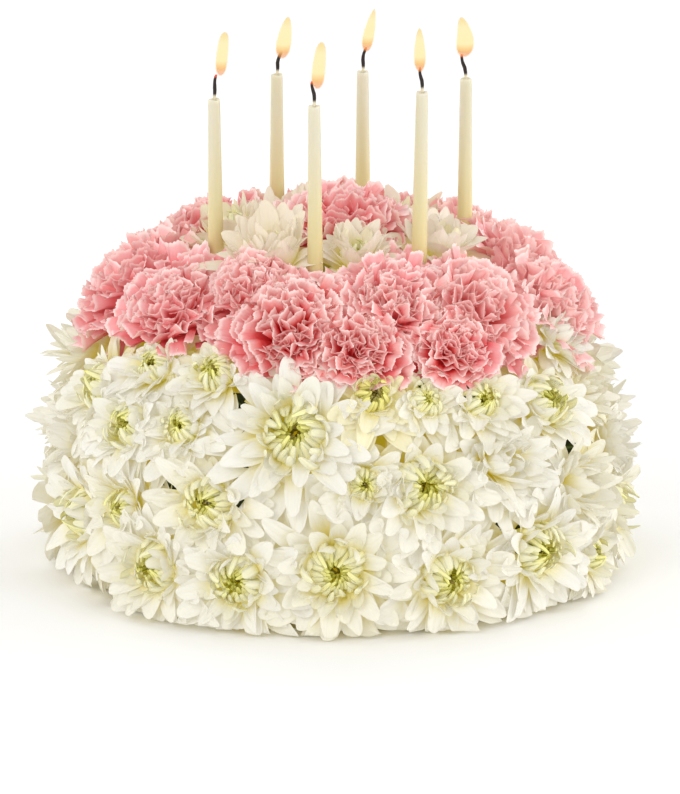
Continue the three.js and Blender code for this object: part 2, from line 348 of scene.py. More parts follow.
def pink_petal(mix):
    look = bpy.context.scene.cake_carnation
    along, tint, depth, fade = mix.attributes("along tint depth fade")
    veins = mix.noise(1.0, 3.0, at=mix.stretched(mix.petal_place(), (0.15, 1.6, 1.0)))
    blotch = mix.noise(0.13, 1.0, at=mix.petal_place())
    mottle = mix.noise(140.0, 3.0)
    patch = mix.noise(22.0, 1.0)

    # Towards the petals' roots the fold colour and then the deep colour are partly their own
    # deeper pink and partly painted shade inside the flower; the deep colour again, by the depth
    # layer, is painted shade between the flowers; the random blotches of the fold colour are the
    # petals' own.
    fold_pink_and_shade = mix.mix(tint, (0.77, 0.135, 0.12), (0.75, 0.095, 0.11))
    colour = mix.coated(
        look.deep_colour,
        (along.between(0.42, 0.85), fold_pink_and_shade),
        (along.between(0.72, 1.0), look.petal_colour),
        (fade * along.between(0.45, 0.9), (0.84, 0.62, 0.60)),
        (0.9 * depth.between(0.06, 0.36), look.deep_colour),
        (0.35 * blotch.between(0.45, 0.7), fold_pink_and_shade),
        (0.4 * patch.between(0.42, 0.68), (0.80, 0.26, 0.30)),
        (0.35 * mottle.between(0.5, 0.8), look.margin_colour),
        (0.2 * veins.between(0.5, 0.75), (0.78, 0.19, 0.19)),
        (0.9 * along.between(0.94, 1.0), look.margin_colour))
    # Painted glow, standing in for light through the petals: pink towards the tips, a dim red
    # deeper in and between the flowers, and paler and brighter on the faded flowers.
    thin = (1.0 - depth) * along.between(0.7, 1.0) + 0.7 * fade
    return mix.finish(
        Base_Color=colour,
        Emission_Color=mix.mix(thin, (0.44, 0.0, 0.0), (0.78, 0.38, 0.36)),
        Emission_Strength=look.through,
        Roughness=0.55 + 0.2 * mottle,
        Normal=mix.bump(veins, 0.0004, 0.7),
        Specular_IOR_Level=0.12,
        Sheen_Weight=0.02,
    )


def fresh_leaf(mix):
    across, = mix.attributes("across")
    # Near-black green: partly the leaves' own dark colour and partly painted shade in the gaps
    # where they sit.
    cell = mix.noise(1.0, 3.0, at=mix.stretched(mix.petal_place(), (0.5, 0.9, 1.0)))
    colour = mix.mix(cell.between(0.35, 0.7), (0.018, 0.022, 0.004), (0.035, 0.055, 0.010))
    return mix.finish(
        Base_Color=mix.mix((across ** 2.0).between(0.002, 0.03), (0.09, 0.13, 0.035), colour),
        Roughness=0.6 + 0.15 * cell,
        Specular_IOR_Level=0.2,
        Normal=mix.bump(cell, 0.0005, 0.8),
    )


def flower_foam(mix):
    # Near-black brown: partly the foam's own colour and partly painted shade that darkens the
    # gaps between the flowers.
    grain = mix.noise(900.0, 4.0, 0.7)
    patch = mix.noise(45.0)
    colour = mix.mix(patch.between(0.35, 0.7), (0.016, 0.010, 0.004), (0.036, 0.026, 0.010))
    return mix.finish(
        Base_Color=mix.mix(0.4 * grain, colour, (0.05, 0.042, 0.020)),
        Roughness=0.85 + 0.1 * grain,
        Normal=mix.bump(grain, 0.001),
    )


def candle_wax(mix):
    look = bpy.context.scene.cake_candle
    height, = mix.attributes("along")
    streak = mix.noise(1.0, at=mix.stretched(mix.object_place(), (260.0, 260.0, 18.0)))
    fleck = mix.noise(700.0)
    colour = mix.coated(
        look.wax_colour,
        (height.between(0.3, 0.95), (0.64, 0.605, 0.47)),
        (0.3 * streak.between(0.42, 0.72), (0.57, 0.53, 0.28)),
        (0.5 * height.between(0.975, 1.0), (0.71, 0.67, 0.56)))
    return mix.finish(
        Base_Color=colour,
        Roughness=0.32 + 0.15 * fleck,
        Normal=mix.bump(streak, 0.0006, 0.5),
        Subsurface_Weight=0.45,
        Subsurface_Radius=(1.0, 0.8, 0.45),
        Subsurface_Scale=0.004,
    )


def burnt_wick(mix):
    height, = mix.attributes("along")
    char = mix.noise(1500.0, 3.0, 0.7)
    burnt = mix.mix(char, (0.008, 0.006, 0.006), (0.035, 0.022, 0.018))
    return mix.finish(
        Base_Color=mix.mix(height.between(0.16, 0.30), (0.74, 0.66, 0.48), burnt),
        Emission_Color=mix.mix(height.between(0.86, 0.97), (0.0, 0.0, 0.0), (1.0, 0.10, 0.02)),
        Emission_Strength=0.9,
        Roughness=0.8 + 0.15 * char,
        Normal=mix.bump(char, 0.0003),
    )


def flame_finish(mix, height, alpha, *stops):
    """A glow whose colour changes at these stops from the foot to the tip."""
    return mix.finish(
        Base_Color=(0.02, 0.01, 0.0, 1.0),
        Emission_Color=mix.ramp(height, stops),
        Emission_Strength=bpy.context.scene.cake_candle.glow,
        Alpha=alpha,
        Roughness=0.9,
        Specular_IOR_Level=0.0,
    )


def flame_body(mix):
    height, = mix.attributes("along")
    return flame_finish(
        mix, height, 0.35 + 0.65 * height.between(0.02, 0.25),
        (0.0, (0.86, 0.34, 0.11)), (0.10, (0.88, 0.41, 0.16)), (0.22, (0.96, 0.66, 0.31)),
        (0.36, (1.0, 0.94, 0.56)), (0.8, (1.0, 0.95, 0.60)), (1.0, (1.0, 0.84, 0.42)))


def flame_edge(mix):
    height, = mix.attributes("along")
    return flame_finish(
        mix, height, 0.2,
        (0.0, (0.88, 0.34, 0.09)), (0.3, (0.98, 0.66, 0.22)), (0.7, (0.94, 0.66, 0.22)),
        (1.0, (0.68, 0.38, 0.10)))


def plain_floor(mix):
    grain = mix.noise(30.0)
    floor_colour = tuple(bpy.context.scene.cake_stage.floor_colour)
    colour = mix.mix(0.05 * grain, floor_colour, (0.8, 0.8, 0.8))
    return mix.finish(Base_Color=colour, Roughness=0.75)


# ---- the flowers' places


class Bloom(NamedTuple):
    """Where a flower stands and how much room it has."""

    name: str
    place: np.ndarray  # the middle of its face
    axes: np.ndarray  # rows: two across, one out along the stem
    half: float  # half its width
    lift: float  # how far its petals are held up, as a share of half
    room: np.ndarray  # how far it reaches in each heading


class FlowerSolid(NamedTuple):
    """The form of a kind of flower's solid. Lengths are shares of half its width."""

    rings: int  # rings of corners round its middle
    heart: float  # radius of the innermost ring
    dip: float  # how far the middle of its face stands over the petals' plane


MUM_SOLID = FlowerSolid(3, 0.24, -0.06)
CARNATION_SOLID = FlowerSolid(4, 0.26 * 0.94, 0.14)
INSIDE = Vector((0, 0, 60 * MM))  # a point in the middle of the cake
SPOKES = range(19, 29)  # edges that meet in the middle of a flower's solid
TUCKED_SPOKES = range(19, 24)  # the same where the flower is fused to the foam
WIDEST_TUCKED = 40 * MM  # half the width of the biggest flower that is fused to the foam
SIDEWAYS = math.radians(22)  # corners this far to the side still tell a heading's room
LEVEL_STEP = 0.3 * MM  # corners of a candle that lie closer in height share a level


def merged_copy(node):
    """The node's surface with its loose corners joined."""
    solid = bmesh.new()
    solid.from_mesh(node.data)
    bmesh.ops.remove_doubles(solid, verts=solid.verts, dist=2e-6)
    return solid


def nodes_named(start):
    """The names of the CAD nodes that start like this, in order."""
    return sorted(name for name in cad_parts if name.startswith(start))


def turn_between(first, second):
    """From the second heading to the first, between half a turn back and half a turn on."""
    return (first - second + np.pi) % (2 * np.pi) - np.pi


def axes_round(facing):
    """Two directions across this one, and the direction itself, as rows."""
    side = Vector((-facing.y, facing.x, 0)).normalized()
    if side.length < 0.5:
        side = Vector((1, 0, 0))
    return np.array([side, facing.cross(side), facing])


def hearts(solid, spokes):
    """The middles of the flower faces: corners where many edges meet, facing out."""
    for vertex in solid.verts:
        if len(vertex.link_faces) not in spokes:
            continue
        facing = sum((f.normal * f.calc_area() for f in vertex.link_faces), Vector())
        if facing.dot(vertex.co - INSIDE) > 0:
            yield vertex, facing.normalized()


def rings_round(vertex, count):
    """The rings of corners round a flower's middle, from the inside out."""
    seen = {vertex}
    ring = [vertex]
    rings = []
    for _ in range(count):
        ring = list({e.other_vert(v) for v in ring for e in v.link_edges} - seen)
        seen.update(ring)
        rings.append(np.array([v.co for v in ring]))
    return rings


def bloom_at(name, vertex, facing):
    """The flower whose middle is at this corner of a solid."""
    solid = CARNATION_SOLID if name.startswith("carnation") else MUM_SOLID
    axes = axes_round(facing)
    rings = rings_round(vertex, solid.rings)
    local = [(ring - np.array(vertex.co)) @ axes.T for ring in rings]
    half = float(np.hypot(*local[0][:, :2].T).mean()) / solid.heart
    second = float(local[1][:, 2].mean()) / half + solid.dip
    lift = max(0.0, (second - 0.1) / 0.6) if solid is MUM_SOLID else 0.0
    rim = local[-1]
    turn = np.arctan2(rim[:, 1], rim[:, 0])
    reach = np.hypot(rim[:, 0], rim[:, 1])
    headings = np.arange(HEADINGS) * (2 * np.pi / HEADINGS)
    apart = np.abs(turn_between(turn[None], headings[:, None]))
    near = np.where(apart < SIDEWAYS, reach[None], 0).max(1)
    room = np.where(near > 0, near, half)
    place = np.array(vertex.co) - solid.dip * half * np.array(facing)
    return Bloom(name, place, axes, half, lift, np.minimum(room, half * 1.1))


def fitted(bloom):
    """The flower at its own size, as deep between the others as it sits."""
    kind, _, number = bloom.name.rpartition("_")
    share, sink = FITTED[kind].get(int(number), (1.0, SINK[kind]))
    place = bloom.place - sink * MM * bloom.axes[2]
    return bloom._replace(place=place, half=share * bloom.half, room=share * bloom.room)


def node_blooms(start):
    """The flowers whose nodes' names start like this, in order."""
    found = []
    for name in nodes_named(start):
        solid = merged_copy(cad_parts[name])
        vertex, facing = max(hearts(solid, SPOKES), key=lambda pair: len(pair[0].link_faces))
        found.append(fitted(bloom_at(name, vertex, facing)))
        solid.free()
    return found


def tucked_blooms():
    """The small mums that are fused to the foam."""
    solid = merged_copy(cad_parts["core"])
    found = [bloom_at("", *pair) for pair in hearts(solid, TUCKED_SPOKES)]
    solid.free()
    found = [bloom for bloom in found if bloom.half < WIDEST_TUCKED]
    return [
        fitted(bloom._replace(name=f"tucked_mum_{i + 1:02d}")) for i, bloom in enumerate(found)]


class CandleStand(NamedTuple):
    """A candle's centre line and its width, level by level."""

    levels: list  # centres: foot, melt pool, wax top, then the wick to its tip
    radii: list


def candle_stands():
    """Each candle's centres and radii, from its solid."""
    stands = {}
    for name in nodes_named("candle"):
        solid = merged_copy(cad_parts[name])
        corners = sorted((v.co.copy() for v in solid.verts), key=lambda co: co.z)
        solid.free()
        levels = [[corners[0]]]
        for co in corners[1:]:
            if co.z - levels[-1][-1].z > LEVEL_STEP:
                levels.append([])
            levels[-1].append(co)
        centres = [sum(level, Vector()) / len(level) for level in levels]
        radii = [
            max((co - centre).length for co in level)
            for level, centre in zip(levels, centres)]
        stands[name] = CandleStand(centres, radii)
    return stands


STANDS = candle_stands()


# ---- petal blanks


class Blank:
    """A flat petal of two skins joined round the rim, to be shaped later.

    Its x runs from the root, 0, to the tip, 1; its y across, from -1 to 1; its z is 1 on the
    upper skin, -1 on the lower one and 0 at the rim.
    """

    def __init__(self, along, across, tooth=0.0):
        shape = bmesh.new()
        bmesh.ops.create_grid(shape, x_segments=along, y_segments=across, size=1.0)
        for vertex in shape.verts:
            vertex.co.x = 1 - ((1 - vertex.co.x) / 2) ** 1.4
        if tooth:
            self.cut_teeth(shape, tooth)
        rim = {v for v in shape.verts if v.is_boundary}
        for vertex in shape.verts:
            vertex.co.z = 0.0 if vertex in rim else 1.0
        for face in shape.faces:
            face.smooth = True
        lower = bmesh.ops.duplicate(shape, geom=shape.verts[:] + shape.edges[:] + shape.faces[:])
        under = [g for g in lower["geom"] if isinstance(g, bmesh.types.BMFace)]
        bmesh.ops.reverse_faces(shape, faces=under)
        corners = [g for g in lower["geom"] if isinstance(g, bmesh.types.BMVert)]
        bmesh.ops.scale(shape, vec=(1, 1, -1), verts=corners)
        bmesh.ops.remove_doubles(shape, verts=shape.verts, dist=1e-5)
        for edge in shape.edges:
            edge.smooth = not all(abs(v.co.z) < 0.5 for v in edge.verts)
        self.mesh = bpy.data.meshes.new("petal_blank")
        shape.to_mesh(self.mesh)
        shape.free()
        corners = np.array([v.co for v in self.mesh.vertices])
        self.along, self.across, self.skin = corners.T
        self.loop_vertex = np.array([loop.vertex_index for loop in self.mesh.loops])
        faces = [
            np.sign(sum(self.skin[v] for v in face.vertices)) for face in self.mesh.polygons]
        self.loop_skin = np.repeat(faces, [len(f.vertices) for f in self.mesh.polygons])

    @staticmethod
    def cut_teeth(shape, tooth):
        """Splits the tip's edges and draws every second point out."""
        tip = [
            e for e in shape.edges
            if e.is_boundary and all(v.co.x > 1 - 1e-4 for v in e.verts)]
        cut = bmesh.ops.subdivide_edges(shape, edges=tip, cuts=1)
        points = [g for g in cut["geom_inner"] if isinstance(g, bmesh.types.BMVert)]
        bmesh.ops.translate(shape, vec=(tooth, 0, 0), verts=points)


class Petals:
    """Many petals of one blank: each value is an array with one entry for each petal."""

    FIELDS = (
        "turn root_out root_up tip_out tip_up bend width curl twist sway tip_lift waist point "
        "blunt ruffle waves phase flutter heart tint fade blush floor"
    ).split()

    PAINTED = ("heart", "tint", "fade", "blush")  # what the materials read of them

    def __init__(self, count):
        for field in self.FIELDS:
            setattr(self, field, np.zeros(count))
        self.count = count

    @classmethod
    def joined(cls, parts):
        whole = cls(sum(part.count for part in parts))
        for field in cls.FIELDS:
            setattr(whole, field, np.concatenate([getattr(part, field) for part in parts]))
        return whole

    def column(self, field):
        return getattr(self, field)[:, None]


class Whorl(NamedTuple):
    """A ring of like petals. Lengths are shares of half the flower's width."""

    count: int
    tip: tuple  # how far out and how high over the face the tips lie
    root: tuple
    bend: float  # degrees that the petal turns back, or in where negative
    width: float
    curl: float = 0.5  # half angle of the gutter along it, in radians
    waist: float = 0.5  # width at the root against the widest
    point: float = 0.68  # width at the tip against the widest
    blunt: float = 1.0  # how far the tip's corners are cut back
    ruffle: float = 0.0
    waves: float = 0.0
    flutter: float = 0.0  # fine frill right at the edge
    wander: float = 1.0  # how much petals differ
    heart: float = 0.0  # 1 for the small petals of the heart
    swirl: float = 0.0  # how far the tips all curve to one side


def room_at(bloom, turn):
    """How far the flower may reach in these headings."""
    at = (turn / (2 * np.pi) * HEADINGS) % HEADINGS
    low = np.floor(at).astype(int) % HEADINGS
    share = at - np.floor(at)
    return bloom.room[low] * (1 - share) + bloom.room[(low + 1) % HEADINGS] * share


def pressed(bloom, others, turn):
    """How much one of the others lies on this flower's petals in these headings, 0 to 1."""
    touching, fading = 1.3, 0.6
    share = np.zeros_like(turn)
    for other in others:
        across, along, _ = bloom.axes @ (other.place - bloom.place)
        if math.hypot(across, along) < touching * (bloom.half + other.half):
            apart = np.abs(turn_between(turn, math.atan2(along, across)))
            share = np.maximum(share, np.clip(1.6 - apart / fading, 0, 1))
    return share * PROUD.get(bloom.name, 1.0)


def on_dome(heading, height):
    """A place on the dome: degrees round the cake from +X, and millimetres up."""
    reach = DOME[0] * math.sqrt(1 - (height * MM / DOME[1]) ** 3)
    turn = math.radians(heading)
    return np.array([reach * math.cos(turn), reach * math.sin(turn), height * MM])


def all_gaps():
    """Where each gap is and half its width: those in the front, and as many for the back."""
    rng = np.random.default_rng(77)
    strewn = [
        (rng.uniform(5, 175), rng.uniform(35, 95), rng.uniform(0.4, 1.4)) for _ in range(12)]
    return [(on_dome(heading, up), size * MM) for heading, up, size in FRONT_GAPS + strewn]


FRONT_GAPS = [  # dark gaps between the flowers: degrees round, millimetres up, half the width
    (-111, 94, 2.2), (-126, 58, 2.8), (-110, 64, 2.2), (-122, 50, 1.2), (-80, 78, 2.0),
    (-83, 70, 1.6), (-85, 59, 1.8), (-91, 53, 1.6), (-105, 43, 1.2), (-88, 97, 1.8),
    (-53, 40, 2.2), (-54, 21, 1.6), (-43, 62, 1.4), (-60, 103, 1.6),
]
GAPS = all_gaps()


def parted(bloom, turn, width):
    """The petals' headings, turned aside where one would cover a gap."""
    nearest, farthest = 0.4 * bloom.half, 1.7 * bloom.half
    for place, size in GAPS:
        across, along, up = bloom.axes @ (place - bloom.place)
        far = math.hypot(across, along)
        if nearest < far < farthest and abs(up) < bloom.half:
            apart = turn_between(turn, math.atan2(along, across))
            need = (size + 0.42 * width) / far
            turn = turn + np.sign(apart) * np.clip(need - np.abs(apart), 0, None)
    return turn


def grow_whorl(bloom, whorl, start, spread, breadth, others, rng):
    """The petals of one whorl, none quite like another."""
    count, half = whorl.count, bloom.half
    petals = Petals(count)

    def swing(amount):
        return whorl.wander * amount * rng.uniform(-1, 1, count)

    usual = (30 * MM / half) ** 0.6  # petals of a small flower are broad for its size
    petals.width = half * whorl.width * usual * breadth * (1 + swing(0.16))
    petals.turn = start + 2 * np.pi / count * (np.arange(count) + swing(0.30))
    if not whorl.ruffle:
        petals.turn = parted(bloom, petals.turn, petals.width)
    under = pressed(bloom, others, petals.turn)
    room = room_at(bloom, petals.turn) / half * (spread - (spread - 0.95) * under)
    crowd = np.clip(1 - room, 0, 0.5) * whorl.tip[0]
    out = whorl.tip[0] * np.minimum(1, room + 0.02) * (1 + swing(0.09))
    rise = whorl.tip[1] + 0.5 * crowd + swing(0.09)
    rise = rise - 0.4 * under * whorl.tip[0] ** 2
    petals.tip_out = half * out
    petals.tip_up = half * (rise + bloom.lift * whorl.tip[0])
    petals.root_out = half * whorl.root[0] * (1 + swing(0.1))
    petals.root_up += half * whorl.root[1]
    petals.bend = np.radians(whorl.bend + swing(12))
    petals.curl = whorl.curl * (1 + swing(0.3))
    stray = (rng.random(count) < 0.2 * whorl.wander) * rng.uniform(0.4, 1, count)
    petals.tip_up += half * (0.08 if whorl.ruffle else 0.22) * stray * (1 - under)
    petals.tip_out *= 1 - 0.12 * stray
    petals.twist = swing(0.36 + 0.5 * stray)
    petals.sway = whorl.swirl + swing(0.12)
    petals.tip_lift = swing(0.09)
    petals.waist += whorl.waist
    petals.point = whorl.point * (1 + swing(0.3))
    petals.blunt = whorl.blunt * (1 + swing(0.3))
    petals.ruffle = whorl.ruffle * (1 + swing(0.4))
    petals.waves = whorl.waves * (1 + swing(0.25))
    petals.phase = rng.uniform(0, 2 * np.pi, count)
    petals.flutter = whorl.flutter * (1 + swing(0.4))
    petals.heart += whorl.heart
    petals.tint = rng.uniform(0, 1, count)
    petals.floor = rng.uniform(0.7, 2.6, count) * MM
    return petals


def petal_points(bloom, petals, along, across):
    """Where these points of each petal lie, in metres."""
    col = petals.column

    # the line down its middle: an arc from the root to the tip
    reach = col("tip_out") - col("root_out")
    rise = col("tip_up") - col("root_up")
    bend = col("bend")
    bend = np.where(np.abs(bend) < 0.02, 0.02, bend)
    length = np.hypot(reach, rise) * bend / np.sin(bend)
    start = np.arctan2(rise, reach) + bend
    lean = start - 2 * bend * along
    out = col("root_out") + length / (2 * bend) * (np.sin(start) - np.sin(lean))
    up = col("root_up") + length / (2 * bend) * (np.cos(lean) - np.cos(start))

    # its outline: widest at the belly, or at the tip for a fan with a point of 1
    waist, point = col("waist"), col("point")
    belly = 0.6
    before = np.sin(0.5 * np.pi * np.clip(along / belly, 0, 1))
    after = np.clip((along - belly) / (1 - belly), 0, 1.3) ** 2.4
    broad = np.where(
        point < 1,
        waist + (1 - waist) * before - (1 - point) * after,
        waist + (1 - waist) * np.clip(along, 0, 1.2) ** 1.35,
    )
    half = 0.5 * col("width") * broad

    # its section: a gutter, with waves and a fine frill that grow towards the tip
    curl = col("curl") * (1.1 - 0.55 * along)
    side = half * np.sin(curl * across) / curl
    lift = half * (1 - np.cos(curl * across)) / curl
    swell = np.clip(along, 0, 1.2)
    lift = lift + length * col("tip_lift") * swell**3
    wave = np.pi * col("waves") * across + col("phase")
    lift = lift + length * col("ruffle") * swell**1.6 * np.sin(wave)
    fine = 4 * np.pi * across + 2.1 * col("phase")
    lift = lift + length * col("flutter") * swell**3 * np.sin(fine)
    uneven = np.sin(0.7 * wave + 1.3 * col("phase")) * np.sin(1.9 * wave)
    side = side + length * col("sway") * swell**2
    twist = col("twist") * swell
    side, lift = (
        side * np.cos(twist) - lift * np.sin(twist),
        side * np.sin(twist) + lift * np.cos(twist),
    )

    # how far the tip's corners are cut back
    corner = np.abs(across) ** np.where(point < 1, 1.7, 2.3)
    back = half * col("blunt") * corner * swell**4
    back = back + 0.4 * length * col("ruffle") * uneven * swell**3

    out = out - back * np.cos(lean) - lift * np.sin(lean)
    up = up - back * np.sin(lean) + lift * np.cos(lean)
    cosine, sine = np.cos(col("turn")), np.sin(col("turn"))
    local = np.stack(
        [out * cosine - side * sine, out * sine + side * cosine, up], axis=-1)
    return kept_clear(bloom.place + local @ bloom.axes, petals)


def depth_under_dome(points):
    """How deep between the flowers these points lie: 0 at their faces, 1 at their roots."""
    # The materials lay painted shade by this depth: petals deep between the flowers are darker,
    # yellower on the mums and redder on the carnations, and their painted glow is dimmer.
    shallow, deep, lit_foot = 1 * MM, 19 * MM, 16 * MM
    reach = np.hypot(points[..., 0], points[..., 1]) / DOME[0]
    level = points[..., 2] / DOME[1]
    steep = np.hypot(2 * reach / DOME[0], 3 * level**2 / DOME[1])
    depth = (1 - reach**2 - level**3) / np.maximum(steep, 4.0)
    # Near the floor the depth, and the painted shade with it, is cut to a quarter, growing to
    # full at lit_foot.
    off_floor = np.clip(points[..., 2] / lit_foot, 0.25, 1)
    return off_floor * np.clip((depth - shallow) / deep, 0, 1)


def kept_clear(points, petals):
    """Points moved off the floor and off the candles."""
    low, soft, candle_room = petals.column("floor"), 1.2 * MM, 4.0 * MM
    above = np.clip((points[..., 2] - low) / soft, -30, 30)
    points[..., 2] = np.where(above < 25, low + soft * np.log1p(np.exp(above)), points[..., 2])
    for stand in STANDS.values():
        foot, top = (np.array(stand.levels[i]) for i in (0, 2))
        line = (top - foot) / np.linalg.norm(top - foot)
        past = points - foot
        off = past - (past @ line)[..., None] * line
        gap = np.linalg.norm(off, axis=-1)
        clear = (gap**4 + candle_room**4) ** 0.25
        points = points + off * ((clear - gap) / np.maximum(gap, 1e-6))[..., None]
    return points


def petal_mesh(name, bloom, groups, thickness):
    """One mesh of all these petals: groups pairs each blank with its petals."""
    shape = bmesh.new()
    for blank, petals in groups:
        for _ in range(petals.count):
            shape.from_mesh(blank.mesh)
    mesh = bpy.data.meshes.new(name)
    shape.to_mesh(mesh)
    shape.free()
    places, uv = [], []
    layers = {key: [] for key in ("along", "across", "depth", "petal_place", *Petals.PAINTED)}
    cells = sum(petals.count for _, petals in groups)
    columns = math.ceil(math.sqrt(2 * cells))
    pairs = columns // 2  # each petal's two skins lie side by side
    rows = math.ceil(cells / pairs)
    first = 0
    for blank, petals in groups:
        step = 1e-3
        here = petal_points(bloom, petals, blank.along, blank.across)
        ahead = petal_points(bloom, petals, blank.along + step, blank.across)
        beside = petal_points(bloom, petals, blank.along, blank.across + step)
        normal = np.cross(ahead - here, beside - here)
        normal /= np.maximum(np.linalg.norm(normal, axis=-1, keepdims=True), 1e-12)
        swell = 0.5 * thickness * blank.skin * (1 - 0.5 * np.clip(blank.along, 0, 1) ** 2)
        places.append((here + normal * swell[None, :, None]).reshape(-1, 3))

        each = np.ones((petals.count, len(blank.along)))
        length = np.hypot(petals.tip_out - petals.root_out, petals.tip_up - petals.root_up)
        values = {key: each * petals.column(key) for key in Petals.PAINTED}
        values["depth"] = depth_under_dome(here)
        values["along"] = each * blank.along
        values["across"] = each * blank.across
        values["petal_place"] = np.stack([
            each * blank.along * length[:, None] / MM,
            each * blank.across * petals.column("width") / MM / 2,
            each * petals.column("tint") * 97.0], axis=-1)  # another region for each petal
        for key, value in values.items():
            layers[key].append(value.ravel())

        index = first + np.arange(petals.count)[:, None]
        corner_x = 2 * (index % pairs) + (blank.loop_skin[None] > 0)
        corner_y = index // pairs
        u = 0.06 + 0.88 * (blank.across[blank.loop_vertex] + 1) / 2  # clear of the next cell
        v = 0.04 + 0.86 * blank.along[blank.loop_vertex]  # with room for the teeth
        uv.append(np.stack(
            [(corner_x + u) / columns, (corner_y + v) / rows], axis=-1).reshape(-1, 2))
        first += petals.count
    mesh.vertices.foreach_set("co", np.concatenate(places).astype(np.float32).ravel())
    layer = mesh.uv_layers.new(name="OFBake")
    layer.data.foreach_set("uv", np.concatenate(uv).astype(np.float32).ravel())
    for key, parts in layers.items():
        kind, field = ("FLOAT_VECTOR", "vector") if key == "petal_place" else ("FLOAT", "value")
        data = mesh.attributes.new(key, kind, "POINT")
        data.data.foreach_set(field, np.concatenate(parts).astype(np.float32))
    mesh.update()
    return mesh


def finished_mesh(name, shape):
    """The bmesh as smooth-shaded mesh data."""
    mesh = bpy.data.meshes.new(name)
    for face in shape.faces:
        face.smooth = True
    shape.to_mesh(mesh)
    shape.free()
    return mesh


def add_piece(name, mesh, make, slot, *nodes):
    """A finished piece that rides on the cake, stands for nodes and takes the finish that make
    gives; slot is not used.
    """
    piece = bpy.data.objects.new(name, mesh)
    bpy.context.scene.collection.objects.link(piece)
    mesh.materials.append(finish_of(make))
    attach(piece, "root")
    if nodes:
        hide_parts(*nodes)


# ---- the flowers' whorls


def whorls(columns, rows, **shared):
    """A flower's whorls from the outside in: what differs in columns, what is shared by name."""
    return [Whorl(**dict(zip(columns.split(), row)), **shared) for row in rows]


UNDERNEATH = Whorl(12, (1.32, -0.46), (0.10, -0.55), 30, 0.34)  # fills in below the flower
OPEN_WHORLS = [
    Whorl(14, (1.17, -0.20), (0.10, -0.42), 26, 0.32),
    Whorl(14, (1.08, -0.05), (0.10, -0.38), 24, 0.31),
    Whorl(14, (0.95, 0.07), (0.10, -0.34), 22, 0.30, 0.55),
    Whorl(12, (0.78, 0.16), (0.12, -0.30), 16, 0.28, 0.65, blunt=0.95),
    Whorl(11, (0.62, 0.22), (0.16, -0.30), 4, 0.25, 0.85, 0.55, 0.66, 1.1, heart=0.03),
    Whorl(10, (0.46, 0.25), (0.22, -0.28), -18, 0.22, 1.05, 0.60, 0.70, heart=0.1),
    Whorl(11, (0.31, 0.24), (0.25, -0.24), -44, 0.165, 1.10, 0.65, 0.70, 0.9, heart=0.3),
    UNDERNEATH,
]
HEART_WHORLS = whorls("count tip root bend width wander heart swirl", [
    (24, (0.21, 0.15), (0.27, -0.20), -58, 0.105, 0.7, 0.4, 0.05),
    (22, (0.145, 0.14), (0.22, -0.18), -58, 0.092, 0.7, 0.65, 0.07),
    (18, (0.09, 0.115), (0.17, -0.16), -54, 0.080, 0.6, 0.85, 0.08),
    (13, (0.05, 0.07), (0.12, -0.14), -48, 0.070, 0.5, 1.0, 0.08),
    (8, (0.015, 0.02), (0.07, -0.14), -36, 0.065, 0.5, 1.4, 0.08),
], curl=1.1, waist=0.7, point=0.66, blunt=1.1)
SHAGGY_WHORLS = OPEN_WHORLS[:3] + whorls("count tip root bend width curl waist blunt", [
    (14, (0.80, 0.24), (0.10, -0.30), 12, 0.26, 0.65, 0.50, 1.3),
    (13, (0.62, 0.36), (0.10, -0.30), -2, 0.25, 0.75, 0.50, 1.3),
    (11, (0.42, 0.42), (0.12, -0.30), -16, 0.24, 0.85, 0.50, 1.3),
    (8, (0.20, 0.42), (0.10, -0.30), -24, 0.22, 0.95, 0.55, 1.2),
    (4, (0.04, 0.38), (0.06, -0.30), -24, 0.20, 1.05, 0.55, 1.2),
], point=0.60, wander=1.3) + [UNDERNEATH]
TUCKED_WHORLS = [
    Whorl(12, (1.26, -0.14), (0.10, -0.42), 24, 0.34),
    Whorl(13, (1.10, 0.00), (0.10, -0.38), 22, 0.33),
    Whorl(13, (0.90, 0.12), (0.10, -0.32), 18, 0.30, 0.60),
    Whorl(12, (0.68, 0.18), (0.14, -0.30), 8, 0.26, 0.80, 0.55, 0.66, 1.2, heart=0.03),
    Whorl(11, (0.47, 0.23), (0.22, -0.28), -14, 0.22, 1.05, 0.60, 0.70, heart=0.1),
]
CROWN_WHORLS = whorls("count tip root bend width curl waist point blunt wander heart", [
    (12, (1.02, -0.70), (0.10, -0.55), 34, 0.38, 0.50, 0.50, 0.60, 1.1, 1.0, 0.0),
    (8, (0.92, 0.02), (0.10, -0.40), 14, 0.44, 0.55, 0.50, 0.56, 1.2, 1.2, 0.0),
    (9, (0.84, 0.18), (0.10, -0.38), 6, 0.43, 0.60, 0.50, 0.56, 1.2, 1.2, 0.0),
    (8, (0.72, 0.32), (0.10, -0.36), -2, 0.41, 0.65, 0.50, 0.56, 1.2, 1.2, 0.0),
    (7, (0.55, 0.40), (0.12, -0.34), -10, 0.36, 0.75, 0.50, 0.56, 1.2, 1.2, 0.0),
    (6, (0.36, 0.38), (0.14, -0.32), -20, 0.31, 0.90, 0.55, 0.56, 1.2, 1.0, 0.08),
    (5, (0.18, 0.32), (0.10, -0.32), -26, 0.26, 0.95, 0.55, 0.56, 1.2, 1.0, 0.2),
]) + [UNDERNEATH]
